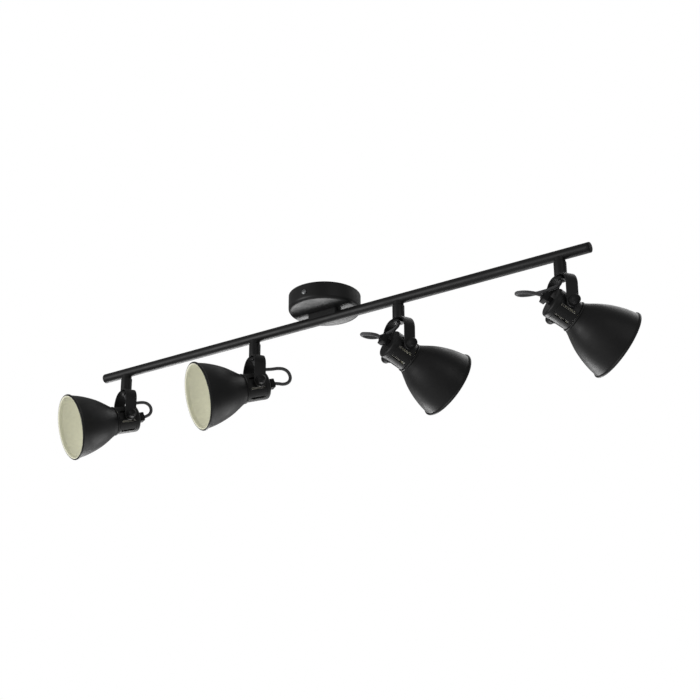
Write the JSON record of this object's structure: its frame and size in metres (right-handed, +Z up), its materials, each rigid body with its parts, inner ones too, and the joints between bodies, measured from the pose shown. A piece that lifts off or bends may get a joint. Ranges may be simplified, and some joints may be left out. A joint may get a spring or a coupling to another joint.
{
  "type": "track lighting fixture",
  "caption": "Straight ceiling spot bar: round canopy, slim tube and swivelling, tilting bell-shaped lamp heads on yokes.",
  "frame": {"origin": "centre of the ceiling face, where the bracket lies against the ceiling", "axes": "+Z up into the ceiling, +X along the bar, +Y to the rear side"},
  "size_m": [0.8813, 0.1945, 0.1901],
  "materials": {
    "black_coat": "fine-textured matte black powder coat",
    "shade_enamel": "matte black outside, warm cream enamel inside",
    "black_plastic": "moulded black plastic",
    "cord_braid": "dark grey braided textile sleeve",
    "zinc_steel": "bright zinc-plated steel",
    "brass_fitting": "plain brass screw",
    "terminal_plastic": "ivory moulded plastic",
    "wire_sleeve": "black cable sleeve",
    "ceramic": "off-white glazed ceramic",
    "lamp_body": "white lamp body with frosted front lens"
  },
  "bodies": {
    "root": {"ceiling_bracket": "zinc_steel", "canopy_cover": "black_coat", "canopy_screw_back": "zinc_steel", "canopy_screw_front": "zinc_steel", "earth_screw": "brass_fitting", "terminal_block": "terminal_plastic", "saddle_block": "black_coat", "threaded_nipple": "zinc_steel", "lock_washer": "zinc_steel", "hex_nut": "zinc_steel", "bar_tube": "black_coat", "bar_end_cap_left": "black_plastic", "bar_end_cap_right": "black_plastic", "wiring_loom": "wire_sleeve", "stem_1": "black_coat", "swivel_bolt_1": "black_coat", "stem_2": "black_coat", "swivel_bolt_2": "black_coat", "stem_3": "black_coat", "swivel_bolt_3": "black_coat", "stem_4": "black_coat", "swivel_bolt_4": "black_coat"},
    "yoke_1": {"yoke_1": "black_coat", "cord_1": "cord_braid"},
    "head_1": {"pivot_screw_left_1": "black_plastic", "pivot_screw_right_1": "black_plastic", "housing_1": "black_coat", "shade_1": "shade_enamel", "lampholder_1": "ceramic", "lamp_1": "lamp_body", "cord_gland_1": "black_plastic"},
    "yoke_2": {"yoke_2": "black_coat", "cord_2": "cord_braid"},
    "head_2": {"pivot_screw_left_2": "black_plastic", "pivot_screw_right_2": "black_plastic", "housing_2": "black_coat", "shade_2": "shade_enamel", "lampholder_2": "ceramic", "lamp_2": "lamp_body", "cord_gland_2": "black_plastic"},
    "yoke_3": {"yoke_3": "black_coat", "cord_3": "cord_braid"},
    "head_3": {"pivot_screw_left_3": "black_plastic", "pivot_screw_right_3": "black_plastic", "housing_3": "black_coat", "shade_3": "shade_enamel", "lampholder_3": "ceramic", "lamp_3": "lamp_body", "cord_gland_3": "black_plastic"},
    "yoke_4": {"yoke_4": "black_coat", "cord_4": "cord_braid"},
    "head_4": {"pivot_screw_left_4": "black_plastic", "pivot_screw_right_4": "black_plastic", "housing_4": "black_coat", "shade_4": "shade_enamel", "lampholder_4": "ceramic", "lamp_4": "lamp_body", "cord_gland_4": "black_plastic"}
  },
  "joints": [
    {"name": "swivel_1", "type": "hinge", "parent": "root", "child": "yoke_1", "pos_m": [-0.357, 0, -0.0648], "axis": [0, 0, 1], "range_deg": [-175, 175]},
    {"name": "tilt_1", "type": "hinge", "parent": "yoke_1", "child": "head_1", "pos_m": [-0.357, 0, -0.109], "axis": [0.8746, -0.4848, 0], "range_deg": [-27.5, 42.5], "deforming": ["cord_1"]},
    {"name": "swivel_2", "type": "hinge", "parent": "root", "child": "yoke_2", "pos_m": [-0.119, 0, -0.0648], "axis": [0, 0, 1], "range_deg": [-175, 175]},
    {"name": "tilt_2", "type": "hinge", "parent": "yoke_2", "child": "head_2", "pos_m": [-0.119, 0, -0.109], "axis": [0.8192, -0.5736, 0], "range_deg": [-27.5, 42.5], "deforming": ["cord_2"]},
    {"name": "swivel_3", "type": "hinge", "parent": "root", "child": "yoke_3", "pos_m": [0.119, 0, -0.0648], "axis": [0, 0, 1], "range_deg": [-175, 175]},
    {"name": "tilt_3", "type": "hinge", "parent": "yoke_3", "child": "head_3", "pos_m": [0.119, 0, -0.109], "axis": [-0.8988, 0.4384, 0], "range_deg": [-33.5, 36.5], "deforming": ["cord_3"]},
    {"name": "swivel_4", "type": "hinge", "parent": "root", "child": "yoke_4", "pos_m": [0.357, 0, -0.0648], "axis": [0, 0, 1], "range_deg": [-175, 175]},
    {"name": "tilt_4", "type": "hinge", "parent": "yoke_4", "child": "head_4", "pos_m": [0.357, 0, -0.109], "axis": [-0.809, 0.5878, 0], "range_deg": [-36.5, 33.5], "deforming": ["cord_4"]}
  ]
}
